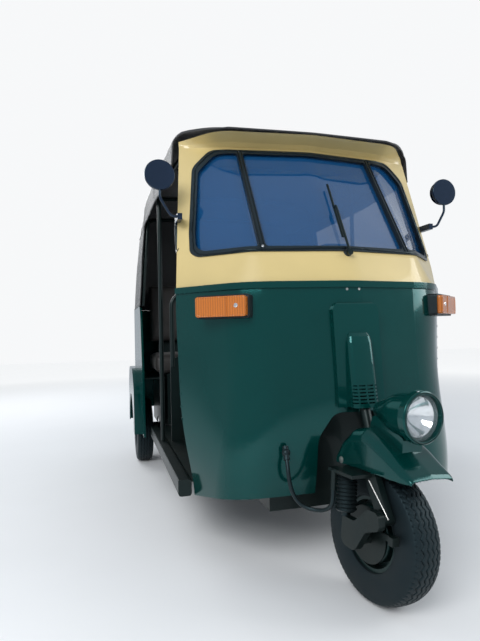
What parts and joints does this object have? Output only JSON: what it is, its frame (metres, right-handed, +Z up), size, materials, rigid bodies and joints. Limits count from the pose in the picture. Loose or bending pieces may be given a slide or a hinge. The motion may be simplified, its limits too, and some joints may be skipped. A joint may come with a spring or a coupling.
{
  "type": "three-wheeled auto rickshaw",
  "caption": "Auto rickshaw with a green steel nose, cream wrap-round windscreen frame, soft hood over a driver's seat and a passenger bench, single steered front wheel and hinged engine lid.",
  "frame": {"origin": "on the ground under the middle of the vehicle's overall length and width", "axes": "+Z up, -Y forward, +X to the vehicle's left"},
  "size_m": [1.3372, 2.5995, 1.71],
  "materials": {
    "green_paint": "gloss bottle green",
    "cream_paint": "semi-gloss cream",
    "black_paint": "satin",
    "wheel_paint": "satin",
    "tyre_rubber": "matt",
    "black_rubber": "matt",
    "black_plastic": "fine grain",
    "amber_plastic": "clear amber",
    "red_plastic": "clear red",
    "window_glass": "clear",
    "lamp_glass": "fluted",
    "clear_sheet": "soft clear sheet",
    "seat_vinyl": "grained",
    "hood_cloth": "coated cloth",
    "cast_alloy": "as cast"
  },
  "bodies": {
    "vehicle_body": {"front_shell": "green_paint", "belt_bead": "green_paint", "windscreen_frame": "cream_paint", "windscreen_seal": "black_rubber", "windscreen_glass": "window_glass", "nose_panel": "green_paint", "signal_housings": "black_plastic", "signal_lenses": "amber_plastic", "wheel_well": "black_paint", "steering_head": "black_paint", "cabin_floor": "black_paint", "chassis_frame": "black_paint", "engine": "cast_alloy", "rear_suspension": "black_paint", "silencer": "black_paint", "driver_seat_box": "green_paint", "driver_seat": "seat_vinyl", "partition": "black_paint", "bench_frame": "black_paint", "bench_seat": "seat_vinyl", "rear_side_left": "green_paint", "rear_side_right": "green_paint", "wheel_housings": "black_paint", "tail_panel": "green_paint", "rear_bumper": "black_paint", "tail_lamps": "red_plastic", "hood_roof": "hood_cloth", "hood_frame": "black_paint", "hood_back": "hood_cloth", "hood_window": "clear_sheet", "mirrors": "black_plastic", "grab_handles": "black_plastic", "wiper": "black_paint", "dashboard": "black_plastic", "hose_grommet": "black_rubber", "brake_hose": "black_rubber"},
    "steering": {"steering_fork": "black_paint", "trailing_link": "black_paint", "front_shock": "black_rubber", "mudguard": "green_paint", "headlamp_bucket": "green_paint", "headlamp_rim": "green_paint", "headlamp_lens": "lamp_glass", "handlebar": "black_plastic", "handlebar_grips": "black_rubber"},
    "front_wheel": {"tyre_front": "tyre_rubber", "rim_front": "wheel_paint"},
    "rear_wheel_left": {"tyre_rear_left": "tyre_rubber", "rim_rear_left": "wheel_paint"},
    "rear_wheel_right": {"tyre_rear_right": "tyre_rubber", "rim_rear_right": "wheel_paint"},
    "engine_lid_body": {"engine_lid": "green_paint"}
  },
  "joints": [
    {"name": "steering_turn", "type": "hinge", "parent": "vehicle_body", "child": "steering", "pos_m": [0, -1.2056, 0], "axis": [0, 0.342, 0.9397], "range_deg": [-46, 24], "deforming": ["brake_hose"]},
    {"name": "front_wheel_roll", "type": "hinge", "parent": "steering", "child": "front_wheel", "pos_m": [-0.00824, -1.08634, 0.20374], "axis": [0.9816, 0.1793, -0.0653], "continuous": true},
    {"name": "rear_wheel_left_roll", "type": "hinge", "parent": "vehicle_body", "child": "rear_wheel_left", "pos_m": [0.575, 0.9144, 0.203], "axis": [1, 0, 0], "continuous": true},
    {"name": "rear_wheel_right_roll", "type": "hinge", "parent": "vehicle_body", "child": "rear_wheel_right", "pos_m": [-0.575, 0.9144, 0.203], "axis": [1, 0, 0], "continuous": true},
    {"name": "engine_lid_swing", "type": "hinge", "parent": "vehicle_body", "child": "engine_lid_body", "pos_m": [0, 1.2584, 0.876], "axis": [1, 0, 0], "range_deg": [0, 80]}
  ]
}
